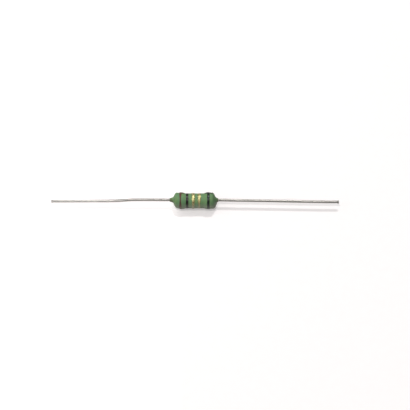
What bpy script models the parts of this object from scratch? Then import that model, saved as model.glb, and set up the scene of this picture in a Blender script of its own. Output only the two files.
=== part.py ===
# Noninductive wirewound resistor, 1 W size, lying on its lacquered body.
# The body's axis runs along X. Two resistance wires are wound round a ceramic
# rod in opposite directions, so that their magnetic fields cancel, and both are
# welded to the caps at the rod's ends. A dipped lacquer coat covers everything
# up to the leads and carries five painted bands.
# All lengths are in metres.

import math

import bmesh
import bpy
from mathutils import Vector

# Ceramic rod
ROD_DIAMETER = 0.00280
ROD_LENGTH = 0.00900
ROD_CHAMFER = 0.00015

# Drawn steel caps, pressed onto the rod
CAP_WALL = 0.00030
CAP_DEPTH = 0.00145
CAP_CORNER = 0.00035
LIP_FLARE = 0.00005
LIP_LENGTH = 0.00020
PRESS_CLEARANCE = 0.000015

# Leads, headed like a nail and butt-welded to the caps
LEAD_DIAMETER = 0.00080
HEAD_DIAMETER = 0.00130
HEAD_THICKNESS = 0.00015
HEAD_FILLET = 0.00012
WELD_CLEARANCE = 0.000015
LEFT_LEAD_LENGTH = 0.03524
RIGHT_LEAD_LENGTH = 0.03560

# Left lead: a small S-shaped jog, down and towards the front, and a slight droop after it
JOG_START = 0.01180
JOG_RUN = 0.00700
JOG_DROP = 0.00038
JOG_SIDE = 0.00003
DROOP_DEG = 0.35

# Right lead: turned towards the front where it leaves the lacquer
TURN_RUN = 0.00400
TURN_DEG = 0.85

# Sheared tips: the cutter spreads the wire one way and pinches it the other
CUT_LENGTH = 0.00045
CUT_SPREAD = 0.00011
CUT_PINCH = 0.00009
CUT_ROLL_DEG = 34

# Resistance wires
WIRE_DIAMETER = 0.00014
WINDING_TURNS = 7
WIRE_CLEARANCE = 0.000025
LIP_TO_TURNS = 0.00060
WELD_SEAT = 0.00028
WELD_ANGLE_DEG = 18
TAIL_ANGLE_DEG = 72

# Lacquer coat, wall thicknesses over what lies below it. The coat dried thicker at
# the front, so the rod and its leads lie a little behind the middle of the skin.
COAT_CLEARANCE = 0.000027
CORE_SET_BACK = 0.00005
WAIST_WALL = 0.00026
SWELL_HEIGHT = 0.00009
SWELL_AT = -0.00034
SWELL_REACH = 0.00075
LEFT_BULGE_WALL = 0.00035
RIGHT_BULGE_WALL = 0.00036
LEFT_SHOULDER_WALL = 0.00043
RIGHT_SHOULDER_WALL = 0.00048
LEFT_NECK_WALL = 0.00055
RIGHT_NECK_WALL = 0.00070
FILM_WALL = 0.000045
FILM_BUILD = 0.00024

# Lacquer coat, places along the axis
LEFT_RISE_BEFORE_LIP = 0.00095
RIGHT_RISE_BEFORE_LIP = 0.00062
LEFT_BULGE_PAST_LIP = 0.00062
RIGHT_BULGE_PAST_LIP = 0.00078
LEFT_SHOULDER_PAST_CAP = 0.00012
RIGHT_SHOULDER_PAST_CAP = 0.00026
LEFT_NECK_PAST_CAP = 0.00100
RIGHT_NECK_PAST_CAP = 0.00110
LEFT_FILM_PAST_CAP = 0.00208
RIGHT_FILM_PAST_CAP = 0.00190
LEFT_BULGE_HOLD = 0.00032
RIGHT_BULGE_HOLD = 0.00078

# Lacquer coat, how far its curves run on before they turn, as shares of each stretch
RISE_LEAVE = 0.40
RISE_ARRIVE = 0.50
SHOULDER_ARRIVE = 0.55
SHOULDER_LEAVE = 0.45
NECK_ARRIVE = 0.25
NECK_STEEPNESS = 1.6
FILM_LEAVE = 0.17
FILM_ARRIVE = 0.45

# Painted bands
PAINT_THICKNESS = 0.000030
PAINT_CLEARANCE = 0.000010
BROWN_PAST_BULGE = 0.00020
BROWN_WIDTH = 0.00067
BLACK_LEFT_FROM_LIP = 0.00107
BLACK_LEFT_WIDTH = 0.00072
GOLD_LEFT_AT = -0.00028
GOLD_LEFT_WIDTH = 0.00085
GOLD_RIGHT_AT = 0.00140
GOLD_RIGHT_WIDTH = 0.00088
BLACK_RIGHT_PAST_BULGE = 0.00010
BLACK_RIGHT_WIDTH = 0.00070

# Facets
ROUND_SIDES = 24
LEAD_SIDES = 16
STEPS_PER_HALF_TURN = 10
TAIL_STEPS = 8

# Sizes that follow from the ones above
rod_radius = ROD_DIAMETER / 2
cap_inner_radius = rod_radius + PRESS_CLEARANCE
cap_radius = cap_inner_radius + CAP_WALL
lip_radius = cap_radius + LIP_FLARE
cap_bottom = ROD_LENGTH / 2 + PRESS_CLEARANCE
cap_face = cap_bottom + CAP_WALL
lip_at = ROD_LENGTH / 2 - CAP_DEPTH

lead_radius = LEAD_DIAMETER / 2
head_radius = HEAD_DIAMETER / 2

wire_radius = WIRE_DIAMETER / 2
wire_pitch_gap = WIRE_DIAMETER + WIRE_CLEARANCE
turns_end = lip_at - LIP_TO_TURNS
weld_at = lip_at + LIP_LENGTH + WELD_SEAT

bore_over_turns = rod_radius + 2 * wire_pitch_gap + COAT_CLEARANCE
bore_over_cap = lip_radius + wire_pitch_gap + COAT_CLEARANCE
bore_over_head = head_radius + COAT_CLEARANCE
bore_over_lead = lead_radius + COAT_CLEARANCE
waist_radius = bore_over_turns + WAIST_WALL


def clear_scene():
    for obj in list(bpy.data.objects):
        bpy.data.objects.remove(obj)


def make_material(name, colour, roughness, metallic):
    material = bpy.data.materials.new(name)
    material.use_nodes = True
    shader = material.node_tree.nodes["Principled BSDF"]
    shader.inputs["Base Color"].default_value = (*colour, 1.0)
    shader.inputs["Roughness"].default_value = roughness
    shader.inputs["Metallic"].default_value = metallic
    material.diffuse_color = (*colour, 1.0)
    return material


def smoothstep(low, high, value):
    share = min(max((value - low) / (high - low), 0.0), 1.0)
    return share * share * (3.0 - 2.0 * share)


def bezier(start, leave, arrive, end, steps):
    # Points along a cubic curve, without its first one.
    points = []
    for step in range(1, steps + 1):
        t = step / steps
        s = 1.0 - t
        weights = (s**3, 3 * s * s * t, 3 * s * t * t, t**3)
        corners = (start, leave, arrive, end)
        points.append(tuple(sum(w * c[i] for w, c in zip(weights, corners)) for i in (0, 1)))
    return points


def add_piece(name, mesh, material, parent):
    obj = bpy.data.objects.new(name, mesh)
    bpy.context.scene.collection.objects.link(obj)
    mesh.materials.clear()
    mesh.materials.append(material)
    obj.parent = parent
    return obj


def finish_mesh(name, bm):
    bmesh.ops.recalc_face_normals(bm, faces=bm.faces)
    mesh = bpy.data.meshes.new(name)
    bm.to_mesh(mesh)
    bm.free()
    mesh.shade_smooth()
    mesh.set_sharp_from_angle(angle=math.radians(35))
    return mesh


def spin_outline(bm, outline, closed):
    # Spins (x, radius) points round the X axis and returns the new vertices. The facets
    # start half a step from the bottom, so that every turned piece rests and nests on flats.
    before = set(bm.verts)
    phase = math.pi / ROUND_SIDES
    corners = [bm.verts.new((x, -r * math.sin(phase), -r * math.cos(phase))) for x, r in outline]
    pairs = list(zip(corners, corners[1:]))
    if closed:
        pairs.append((corners[-1], corners[0]))
    edges = [bm.edges.new(pair) for pair in pairs]
    bmesh.ops.spin(
        bm,
        geom=corners + edges,
        cent=(0, 0, 0),
        axis=(1, 0, 0),
        angle=2 * math.pi,
        steps=ROUND_SIDES,
        use_merge=True,
    )
    bmesh.ops.remove_doubles(bm, verts=[v for v in bm.verts if v not in before], dist=1e-8)
    return [v for v in bm.verts if v not in before]


def turned_mesh(name, outline, closed):
    bm = bmesh.new()
    spin_outline(bm, outline, closed)
    return finish_mesh(name, bm)


def lofted_mesh(name, sections, sides):
    # Joins sections that stand across the X axis: (x, y, z, spread radius, pinched radius).
    bm = bmesh.new()
    roll = math.radians(CUT_ROLL_DEG)
    rings = []
    for x, y, z, spread, pinch in sections:
        ring = []
        for side in range(sides):
            turn = 2 * math.pi * (side + 0.5) / sides
            across = spread * math.cos(turn)
            along = pinch * math.sin(turn)
            y_off = across * math.cos(roll) - along * math.sin(roll)
            z_off = across * math.sin(roll) + along * math.cos(roll)
            ring.append(bm.verts.new((x, y + y_off, z + z_off)))
        rings.append(ring)
    for near, far in zip(rings, rings[1:]):
        for side in range(sides):
            after = (side + 1) % sides
            bm.faces.new((near[side], near[after], far[after], far[side]))
    bm.faces.new(rings[0])
    bm.faces.new(rings[-1])
    return finish_mesh(name, bm)


def rod_mesh():
    half = ROD_LENGTH / 2
    outline = [
        (-half, 0.0),
        (-half, rod_radius - ROD_CHAMFER),
        (-half + ROD_CHAMFER, rod_radius),
        (half - ROD_CHAMFER, rod_radius),
        (half, rod_radius - ROD_CHAMFER),
        (half, 0.0),
    ]
    return turned_mesh("ceramic_rod", outline, closed=False)


def cap_mesh():
    # The right-hand cap: a cup with an even wall, a flared lip and a rounded closed end.
    flare_end = lip_at + LIP_LENGTH
    outline = [
        (cap_bottom, 0.0),
        (cap_bottom, cap_inner_radius),
        (flare_end, cap_inner_radius),
        (lip_at, cap_inner_radius + LIP_FLARE),
        (lip_at, lip_radius),
        (flare_end, cap_radius),
    ]
    for step in range(5):
        turn = math.radians(90 - 22.5 * step)
        x = cap_face - CAP_CORNER + CAP_CORNER * math.cos(turn)
        radius = cap_radius - CAP_CORNER + CAP_CORNER * math.sin(turn)
        outline.append((x, radius))
    outline.append((cap_face, 0.0))
    return turned_mesh("end_cap", outline, closed=False)


def left_lead_offset(distance):
    # Sideways and upward offset of the left lead at a distance from its weld.
    jog = smoothstep(JOG_START, JOG_START + JOG_RUN, distance)
    past = max(distance - JOG_START - JOG_RUN, 0.0)
    return -JOG_SIDE * jog, -JOG_DROP * jog - past * math.tan(math.radians(DROOP_DEG))


def right_lead_offset(distance):
    # An even bend over the turn's run, then straight.
    slope = math.tan(math.radians(TURN_DEG))
    past = max(distance - RIGHT_FILM_PAST_CAP, 0.0)
    bent = min(past, TURN_RUN)
    return -slope * (bent * bent / (2 * TURN_RUN) + past - bent), 0.0


def lead_mesh(name, side, length, offset, bends):
    # bends lists the distances from the weld at which the wire's line curves.
    straight = HEAD_THICKNESS + HEAD_FILLET
    sections = [
        (0.0, head_radius, head_radius),
        (HEAD_THICKNESS, head_radius, head_radius),
        (straight, lead_radius, lead_radius),
    ]
    sections += [(distance, lead_radius, lead_radius) for distance in bends]
    sections += [
        (length - 2 * CUT_LENGTH, lead_radius, lead_radius),
        (length - CUT_LENGTH, lead_radius, lead_radius),
        (length - CUT_LENGTH / 2, lead_radius + CUT_SPREAD, lead_radius - CUT_PINCH / 2),
        (length, lead_radius + CUT_SPREAD, lead_radius - CUT_PINCH),
    ]
    placed = []
    for distance, spread, pinch in sections:
        y, z = offset(distance)
        placed.append((side * (cap_face + WELD_CLEARANCE + distance), y, z, spread, pinch))
    return lofted_mesh(name, placed, LEAD_SIDES)


def winding_angles():
    # Angles from the crossing line at which the wires get a point: close together
    # in the tails, which climb onto the caps, and even along the turns.
    weld = math.radians(WELD_ANGLE_DEG)
    tail = math.radians(TAIL_ANGLE_DEG)
    total = 2 * math.pi * WINDING_TURNS
    turning = total - 2 * (weld + tail)
    steps = round(turning / math.pi * STEPS_PER_HALF_TURN)
    first = [weld + tail * step / TAIL_STEPS for step in range(TAIL_STEPS)]
    middle = [weld + tail + turning * step / steps for step in range(steps + 1)]
    last = [total - angle for angle in reversed(first)]
    return first + middle + last


def winding_slope():
    turning = 2 * math.pi * WINDING_TURNS - 2 * math.radians(WELD_ANGLE_DEG + TAIL_ANGLE_DEG)
    return 2 * turns_end / turning


def winding_advance(angle):
    # Place along the axis. The tail leaves its weld straight round the cap and
    # takes up the turns' slope where they begin.
    total = 2 * math.pi * WINDING_TURNS
    if angle > total / 2:
        return -winding_advance(total - angle)
    weld = math.radians(WELD_ANGLE_DEG)
    tail = math.radians(TAIL_ANGLE_DEG)
    if angle >= weld + tail:
        return -turns_end + winding_slope() * (angle - weld - tail)
    t = (angle - weld) / tail
    rise = t * t * (3.0 - 2.0 * t)
    arrive = t * t * (t - 1.0) * tail * winding_slope()
    return -weld_at + (weld_at - turns_end) * rise + arrive


def wire_seat(x):
    # Radius of the wire's centre line on the rod, over the flared lip and on the cap.
    on_rod = rod_radius + WIRE_CLEARANCE + wire_radius
    on_lip = lip_radius + WIRE_CLEARANCE + wire_radius
    on_cap = cap_radius + WIRE_CLEARANCE + wire_radius
    away = abs(x)
    climb = smoothstep(turns_end, lip_at - wire_radius - WIRE_CLEARANCE, away)
    settle = smoothstep(lip_at + LIP_LENGTH, weld_at, away)
    return on_rod + (on_lip - on_rod) * climb + (on_cap - on_lip) * settle


def crossing_lift(angle):
    # The two wires meet once every half turn, and the second one rides over the
    # first there. It stays up until the two lie side by side.
    side_by_side = wire_pitch_gap / (2 * winding_slope())
    crossing = min(max(round(angle / math.pi), 1), 2 * WINDING_TURNS - 1)
    away = abs(angle - crossing * math.pi)
    return wire_pitch_gap * (1.0 - smoothstep(0.40 * side_by_side, 1.45 * side_by_side, away))


def winding_curve(name, direction, rides_over):
    points = []
    for angle in winding_angles():
        x = winding_advance(angle)
        radius = wire_seat(x)
        if rides_over:
            radius += crossing_lift(angle)
        points.append(Vector((x, direction * radius * math.sin(angle), radius * math.cos(angle))))
    curve = bpy.data.curves.new(name, "CURVE")
    curve.dimensions = "3D"
    curve.bevel_depth = wire_radius
    curve.bevel_resolution = 1
    curve.use_fill_caps = True
    spline = curve.splines.new("POLY")
    spline.points.add(len(points) - 1)
    for spot, point in zip(spline.points, points):
        spot.co = (*point, 1.0)
    spline.use_smooth = True
    return curve


LEFT_END = {
    "bulge_wall": LEFT_BULGE_WALL,
    "shoulder_wall": LEFT_SHOULDER_WALL,
    "neck_wall": LEFT_NECK_WALL,
    "rise_before_lip": LEFT_RISE_BEFORE_LIP,
    "bulge_past_lip": LEFT_BULGE_PAST_LIP,
    "shoulder_past_cap": LEFT_SHOULDER_PAST_CAP,
    "neck_past_cap": LEFT_NECK_PAST_CAP,
    "film_past_cap": LEFT_FILM_PAST_CAP,
    "bulge_hold": LEFT_BULGE_HOLD,
}
RIGHT_END = {
    "bulge_wall": RIGHT_BULGE_WALL,
    "shoulder_wall": RIGHT_SHOULDER_WALL,
    "neck_wall": RIGHT_NECK_WALL,
    "rise_before_lip": RIGHT_RISE_BEFORE_LIP,
    "bulge_past_lip": RIGHT_BULGE_PAST_LIP,
    "shoulder_past_cap": RIGHT_SHOULDER_PAST_CAP,
    "neck_past_cap": RIGHT_NECK_PAST_CAP,
    "film_past_cap": RIGHT_FILM_PAST_CAP,
    "bulge_hold": RIGHT_BULGE_HOLD,
}


def coat_skin(end):
    # Outer outline of one end of the coat, from the waist out to the film on the lead.
    rise = (lip_at - end["rise_before_lip"], waist_radius)
    bulge = (lip_at + end["bulge_past_lip"], bore_over_cap + end["bulge_wall"])
    shoulder = (cap_face + end["shoulder_past_cap"], cap_radius + end["shoulder_wall"])
    neck = (cap_face + end["neck_past_cap"], bore_over_lead + end["neck_wall"])
    film = (cap_face + end["film_past_cap"], bore_over_lead + FILM_WALL)

    to_bulge = bulge[0] - rise[0]
    to_shoulder = shoulder[0] - bulge[0]
    to_neck = neck[0] - shoulder[0]
    to_film = film[0] - neck[0]
    fall = NECK_STEEPNESS * (shoulder[1] - neck[1]) / to_neck
    before_neck = NECK_ARRIVE * to_neck
    after_neck = FILM_LEAVE * to_film

    leave_rise = (rise[0] + RISE_LEAVE * to_bulge, rise[1])
    reach_bulge = (bulge[0] - RISE_ARRIVE * to_bulge, bulge[1])
    leave_bulge = (bulge[0] + end["bulge_hold"], bulge[1])
    reach_shoulder = (shoulder[0] - SHOULDER_ARRIVE * to_shoulder, shoulder[1])
    leave_shoulder = (shoulder[0] + SHOULDER_LEAVE * to_neck, shoulder[1])
    reach_neck = (neck[0] - before_neck, neck[1] + before_neck * fall)
    leave_neck = (neck[0] + after_neck, neck[1] - after_neck * fall)
    reach_film = (film[0] - FILM_ARRIVE * to_film, bore_over_lead + FILM_BUILD)

    return [
        rise,
        *bezier(rise, leave_rise, reach_bulge, bulge, 5),
        *bezier(bulge, leave_bulge, reach_shoulder, shoulder, 4),
        *bezier(shoulder, leave_shoulder, reach_neck, neck, 5),
        *bezier(neck, leave_neck, reach_film, film, 5),
    ]


def coat_bore(end):
    # Inner outline of one end, from the turns out to the lead, clear of what it covers.
    head_end = cap_face + WELD_CLEARANCE + HEAD_THICKNESS + COAT_CLEARANCE
    return [
        (turns_end, bore_over_turns),
        (lip_at - wire_radius - WIRE_CLEARANCE, bore_over_cap),
        (cap_face - CAP_CORNER, bore_over_cap),
        (cap_face + COAT_CLEARANCE, bore_over_cap - CAP_CORNER),
        (cap_face + COAT_CLEARANCE, bore_over_head),
        (head_end, bore_over_head),
        (head_end + HEAD_FILLET, bore_over_lead),
        (cap_face + end["film_past_cap"], bore_over_lead),
    ]


def mirrored(points):
    return [(-x, radius) for x, radius in reversed(points)]


def coat_outer_line():
    # The whole outer outline, left to right, with the low swelling near the middle.
    swell = []
    for share in (-1.0, -0.5, 0.0, 0.5, 1.0):
        height = SWELL_HEIGHT * 0.5 * (1.0 + math.cos(math.pi * share))
        swell.append((SWELL_AT + SWELL_REACH * share, waist_radius + height))
    return mirrored(coat_skin(LEFT_END)) + swell + coat_skin(RIGHT_END)


def join_rims(bm, side):
    # Closes one end of the coat with a flat ring between the bore's rim and the skin's.
    rims = {v for edge in bm.edges if edge.is_boundary for v in edge.verts if side * v.co.x > 0}
    outwards = sorted(rims, key=lambda v: math.hypot(v.co.y - CORE_SET_BACK, v.co.z))
    pair = []
    for ring in (outwards[:ROUND_SIDES], outwards[ROUND_SIDES:]):
        pair.append(sorted(ring, key=lambda v: math.atan2(v.co.z, v.co.y - CORE_SET_BACK)))
    bore, skin = pair
    for step in range(ROUND_SIDES):
        bm.faces.new((bore[step - 1], bore[step], skin[step], skin[step - 1]))


def coat_mesh():
    # The skin is round about the body's axis. The bore is round about the rod's, and the
    # skin's ends run over to the rod's axis as they close in on the leads.
    bm = bmesh.new()
    skin = spin_outline(bm, coat_outer_line(), closed=False)
    bore = spin_outline(bm, mirrored(coat_bore(LEFT_END)) + coat_bore(RIGHT_END), closed=False)
    for vert in skin:
        away = smoothstep(bore_over_head, cap_radius, math.hypot(vert.co.y, vert.co.z))
        vert.co.y += CORE_SET_BACK * (1.0 - away)
    for vert in bore:
        vert.co.y += CORE_SET_BACK
    join_rims(bm, -1)
    join_rims(bm, 1)
    return finish_mesh("coating", bm)


def skin_radius(x):
    # Radius of the coat's faceted surface at a place along the axis.
    line = coat_outer_line()
    for near, far in zip(line, line[1:]):
        if near[0] <= x <= far[0]:
            share = (x - near[0]) / (far[0] - near[0])
            return near[1] + share * (far[1] - near[1])
    raise ValueError("the place lies off the coat")


def band_outline(middle, width):
    # A ring of paint that follows the coat below it, thin at both edges.
    low, high = middle - width / 2, middle + width / 2
    places = [low] + [x for x, _ in coat_outer_line() if low < x < high] + [high]
    under = [(x, skin_radius(x) + PAINT_CLEARANCE) for x in places]
    edge = min(2 * PAINT_THICKNESS, width / 4)
    tops = [low + edge] + [x for x in places if low + edge < x < high - edge] + [high - edge]
    over = [(x, skin_radius(x) + PAINT_CLEARANCE + PAINT_THICKNESS) for x in tops]
    return under + list(reversed(over))


def bands():
    brown_at = -(lip_at + LEFT_BULGE_PAST_LIP + BROWN_PAST_BULGE)
    black_left_at = -lip_at + BLACK_LEFT_FROM_LIP
    black_right_at = lip_at + RIGHT_BULGE_PAST_LIP + BLACK_RIGHT_PAST_BULGE
    return [
        ("band_1_brown", brown_at, BROWN_WIDTH, "brown paint"),
        ("band_2_black", black_left_at, BLACK_LEFT_WIDTH, "black paint"),
        ("band_3_gold", GOLD_LEFT_AT, GOLD_LEFT_WIDTH, "gold paint"),
        ("band_4_gold", GOLD_RIGHT_AT, GOLD_RIGHT_WIDTH, "gold paint"),
        ("band_5_black", black_right_at, BLACK_RIGHT_WIDTH, "black paint"),
    ]


def axis_height():
    # The body rests on the flats of its widest turned piece.
    widest = max(radius for _, radius in coat_outer_line())
    for _, middle, width, _ in bands():
        widest = max(widest, max(radius for _, radius in band_outline(middle, width)))
    return widest * math.cos(math.pi / ROUND_SIDES)


def add_axis(name, set_back):
    # An empty on the axis that a group of pieces is round about.
    axis = bpy.data.objects.new(name, None)
    axis.location = (0.0, set_back, axis_height())
    bpy.context.scene.collection.objects.link(axis)
    return axis


def build():
    clear_scene()
    ceramic = make_material("white ceramic", (0.80, 0.78, 0.73), 0.60, 0.0)
    steel = make_material("plated steel", (0.62, 0.60, 0.56), 0.35, 1.0)
    tinned = make_material("tinned copper", (0.76, 0.76, 0.74), 0.30, 1.0)
    resistance = make_material("copper nickel wire", (0.70, 0.60, 0.48), 0.35, 1.0)
    lacquer = make_material("green lacquer", (0.155, 0.290, 0.125), 0.45, 0.0)
    paints = {
        "brown paint": make_material("brown paint", (0.130, 0.065, 0.045), 0.50, 0.0),
        "black paint": make_material("black paint", (0.020, 0.028, 0.022), 0.35, 0.0),
        "gold paint": make_material("gold paint", (0.62, 0.50, 0.22), 0.35, 0.8),
    }

    skin_axis = add_axis("skin_axis", 0.0)
    rod_axis = add_axis("rod_axis", CORE_SET_BACK)

    add_piece("ceramic_core", rod_mesh(), ceramic, rod_axis)
    cap = cap_mesh()
    add_piece("end_cap_right", cap, steel, rod_axis)
    add_piece("end_cap_left", cap, steel, rod_axis).rotation_euler = (0.0, 0.0, math.pi)

    jog_places = [JOG_START + JOG_RUN * step / 8 for step in range(9)]
    turn_places = [RIGHT_FILM_PAST_CAP + TURN_RUN * step / 4 for step in range(5)]
    left = lead_mesh("lead_left", -1, LEFT_LEAD_LENGTH, left_lead_offset, jog_places)
    right = lead_mesh("lead_right", 1, RIGHT_LEAD_LENGTH, right_lead_offset, turn_places)
    add_piece("lead_left", left, tinned, rod_axis)
    add_piece("lead_right", right, tinned, rod_axis)

    add_piece("winding_forward", winding_curve("winding_forward", 1, False), resistance, rod_axis)
    add_piece("winding_return", winding_curve("winding_return", -1, True), resistance, rod_axis)

    add_piece("coating", coat_mesh(), lacquer, skin_axis)
    for name, middle, width, paint in bands():
        mesh = turned_mesh(name, band_outline(middle, width), closed=True)
        add_piece(name, mesh, paints[paint], skin_axis)


build()
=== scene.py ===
import math

import bpy
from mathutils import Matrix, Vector


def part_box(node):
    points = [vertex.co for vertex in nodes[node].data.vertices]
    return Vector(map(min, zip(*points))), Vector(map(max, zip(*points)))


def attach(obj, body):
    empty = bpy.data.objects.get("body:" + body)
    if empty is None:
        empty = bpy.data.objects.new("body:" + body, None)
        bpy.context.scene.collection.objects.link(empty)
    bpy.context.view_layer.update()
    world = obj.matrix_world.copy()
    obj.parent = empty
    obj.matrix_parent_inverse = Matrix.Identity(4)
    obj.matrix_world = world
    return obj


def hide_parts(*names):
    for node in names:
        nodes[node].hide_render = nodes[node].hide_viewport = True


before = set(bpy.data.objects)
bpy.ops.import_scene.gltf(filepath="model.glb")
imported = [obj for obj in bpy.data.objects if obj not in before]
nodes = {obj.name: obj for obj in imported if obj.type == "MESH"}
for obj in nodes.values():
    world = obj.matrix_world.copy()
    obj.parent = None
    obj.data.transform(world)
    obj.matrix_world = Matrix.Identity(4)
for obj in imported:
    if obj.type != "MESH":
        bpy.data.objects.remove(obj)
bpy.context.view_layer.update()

# A dipped wirewound resistor on a white table. Everything is in metres, in the frame's own place.
mm = 0.001
print("frame loaded:", len(nodes), "nodes")


# small helpers

def linearColour(hexText):
    # sRGB hex to the linear colour that a socket takes
    parts = [int(hexText[i:i + 2], 16) / 255 for i in (1, 3, 5)]
    return (*[p / 12.92 if p <= 0.04045 else ((p + 0.055) / 1.055) ** 2.4 for p in parts], 1.0)


def put(tree, kind, inputs=None, **settings):
    # adds one node; an input may be a value, a socket, or a node whose first live output is meant
    node = tree.nodes.new(kind)
    for name, value in settings.items():
        setattr(node, name, value)
    for key, value in (inputs or {}).items():
        if isinstance(value, bpy.types.Node):
            value = next(s for s in value.outputs if s.enabled)
        if isinstance(value, bpy.types.NodeSocket):
            tree.links.new(value, node.inputs[key])
        else:
            node.inputs[key].default_value = value
    return node


def ringsOf(node, keep):
    # the turned rings of a CAD node, left to right: (x, centre y, centre z, radius)
    found = {}
    mesh = node.data
    for face in mesh.polygons:
        middle = face.center
        away = Vector((0, middle.y, middle.z - axisHeight)).normalized()
        if keep(face.normal.dot(away)):
            for i in face.vertices:
                co = mesh.vertices[i].co
                found.setdefault(round(co.x * 1e7), {})[tuple(round(c * 1e8) for c in co)] = co
    rings = []
    for key in sorted(found):
        points = list(found[key].values())
        centre = sum(points, Vector()) / len(points)
        radius = sum((p - centre).length for p in points) / len(points)
        rings.append((centre.x, centre.y, centre.z, radius))
    return rings


def smoothAt(rows, x):
    # the values at x on a smooth line through rows that run along x, without overshoot
    def slopeAt(i, k):
        left = (rows[i][k] - rows[i - 1][k]) / (rows[i][0] - rows[i - 1][0]) if i else None
        right = (rows[i + 1][k] - rows[i][k]) / (rows[i + 1][0] - rows[i][0]) if i + 1 < len(rows) else None
        if left is None or right is None:
            return right if left is None else left
        return 2 * left * right / (left + right) if left * right > 0 else 0.0

    x = min(max(x, rows[0][0]), rows[-1][0])
    i = max(n for n in range(len(rows) - 1) if rows[n][0] <= x)
    near, far = rows[i], rows[i + 1]
    span = far[0] - near[0]
    t = (x - near[0]) / span
    values = [x]
    for k in range(1, len(near)):
        values.append(
            near[k] * (1 + 2 * t) * (1 - t) ** 2 + slopeAt(i, k) * span * t * (1 - t) ** 2
            + far[k] * t * t * (3 - 2 * t) + slopeAt(i + 1, k) * span * t * t * (t - 1)
        )
    return tuple(values)


def smoothRow(rows, count):
    # the same line as evenly spaced rows
    low, high = rows[0][0], rows[-1][0]
    return [smoothAt(rows, low + (high - low) * step / count) for step in range(count + 1)]


def guideCurve(name, points, radii=None):
    # a plain line that a tree reads through Object Info
    curve = bpy.data.curves.new(name, "CURVE")
    curve.dimensions = "3D"
    spline = curve.splines.new("POLY")
    spline.points.add(len(points) - 1)
    for i, point in enumerate(points):
        spline.points[i].co = (*point, 1.0)
        spline.points[i].radius = radii[i] if radii else 1.0
    guide = bpy.data.objects.new(name, curve)
    bpy.context.scene.collection.objects.link(guide)
    return guide


def newTree(name, inputs):
    # a Geometry Nodes tree with named inputs; returns it with its input node
    tree = bpy.data.node_groups.new(name, "GeometryNodeTree")
    for label, kind in inputs:
        tree.interface.new_socket(label, in_out="INPUT", socket_type="NodeSocket" + kind)
    return tree, put(tree, "NodeGroupInput")


def growPiece(name, tree, values, slot, *replaced):
    # runs a tree on an empty mesh and keeps the result as a plain mesh
    seed = bpy.data.objects.new(name + "Seed", bpy.data.meshes.new(name + "Seed"))
    bpy.context.scene.collection.objects.link(seed)
    modifier = seed.modifiers.new("grow", "NODES")
    modifier.node_group = tree
    for item in tree.interface.items_tree:
        if item.in_out == "INPUT" and item.name in values:
            modifier[item.identifier] = values[item.name]
    depsgraph = bpy.context.evaluated_depsgraph_get()
    mesh = bpy.data.meshes.new_from_object(seed.evaluated_get(depsgraph), depsgraph=depsgraph)
    bpy.data.objects.remove(seed)
    mesh.name = name
    for mark in [a.name for a in mesh.attributes if a.name in ("along", "around", "spot")]:
        mesh.attributes.remove(mesh.attributes[mark])
    mesh.shade_smooth()
    mesh.set_sharp_from_angle(angle=math.radians(38))
    piece = bpy.data.objects.new(name, mesh)
    bpy.context.scene.collection.objects.link(piece)
    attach(piece, "root")
    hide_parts(*replaced)
    print(f"{name}: {len(mesh.polygons)} faces")
    return piece


# where things are, read off the frame

axisHeight = (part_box("coating")[0].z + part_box("coating")[1].z) / 2
cadSides = 24  # the coat's solid is a 24-sided turning, and the round skin keeps to its flats
flatShare = math.cos(math.pi / cadSides)

skinRings = ringsOf(nodes["coating"], lambda outward: outward > 0.05)
boreRings = ringsOf(nodes["coating"], lambda outward: outward < -0.05)
leftEnd, rightEnd = skinRings[0][0], skinRings[-1][0]

# the wires' slight set, which their CAD lines leave out: (x, how far back) in mm
wireSet = (
    (-41.0, 0.06), (-34.0, 0.10), (-24.0, 0.12), (-19.5, 0.15), (-17.0, 0.20), (-13.8, 0.23),
    (-10.0, 0.20), (-5.6, 0.17), (-4.0, 0.0), (4.0, 0.0), (5.6, 0.08), (8.0, 0.11), (11.4, 0.05),
    (17.0, 0.03), (23.0, 0.0), (29.0, -0.05), (36.0, -0.06), (41.0, -0.03),
)

# how the dipped skin differs from its solid: (x, how much prouder, how far forward) in mm
coatSet = (
    (-7.0, 0.0, 0.0), (-5.8, 0.04, 0.0), (-4.0, 0.045, 0.02), (-2.5, 0.085, 0.09), (2.5, 0.085, 0.09),
    (3.7, 0.07, 0.03), (4.5, 0.08, 0.06), (5.2, 0.08, 0.08), (5.9, -0.04, 0.04), (6.8, 0.0, 0.0),
)


def setBackAt(x):
    return smoothAt(wireSet, x / mm)[1] * mm


def skinAt(x, radius, y):
    prouder, forward = smoothAt(coatSet, x / mm)[1:]
    return (x, radius * flatShare + prouder * mm, y + setBackAt(x) - forward * mm)


# the skin's outline as (x, radius, how far its centre is set back), over 240 even steps
skinLine = smoothRow([skinAt(x, radius, y) for x, y, z, radius in skinRings], 240)
boreLine = [(x, radius * flatShare, y + setBackAt(x)) for x, y, z, radius in boreRings]
skinGuide = guideCurve("skinGuide", skinLine)
boreGuide = guideCurve("boreGuide", boreLine)
runs = [0.0]
for near, far in zip(skinLine, skinLine[1:]):
    runs.append(runs[-1] + (Vector(far) - Vector(near)).length)


def shareAt(x):
    # how far along the skin's outline a place on the axis is, from 0 to 1
    for i, (near, far) in enumerate(zip(skinLine, skinLine[1:])):
        if near[0] <= x <= far[0]:
            return (runs[i] + (runs[i + 1] - runs[i]) * (x - near[0]) / (far[0] - near[0])) / runs[-1]
    raise ValueError("that place lies off the coat")


# the lacquer's surface, which the coat and all the bands share

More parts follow.
